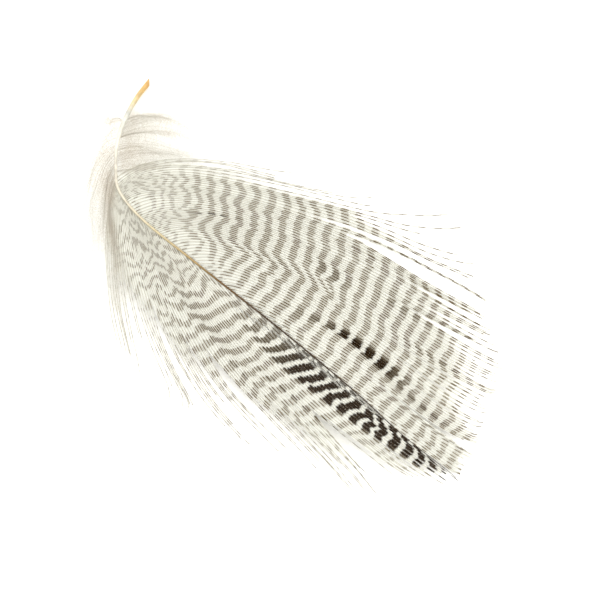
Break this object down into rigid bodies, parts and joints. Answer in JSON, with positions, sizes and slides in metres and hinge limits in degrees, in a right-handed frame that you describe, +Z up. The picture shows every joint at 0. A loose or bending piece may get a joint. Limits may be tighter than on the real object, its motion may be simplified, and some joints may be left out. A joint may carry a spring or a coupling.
{
  "type": "duck flank feather",
  "caption": "Small barred flank feather lying on its underside: bent quill, tapering shaft, long soft vanes with free ends, and pale down at the base.",
  "frame": {"origin": "on the surface that the feather lies on, under the middle of its outline", "axes": "+X along the straight part of the shaft towards the tip, +Y across it towards the wider vane, +Z up out of the surface, on the side of the feather's back"},
  "size_m": [0.0579, 0.0358, 0.0035],
  "materials": {
    "keratin": "matte"
  },
  "bodies": {
    "root": {"feather": "keratin"}
  },
  "joints": []
}
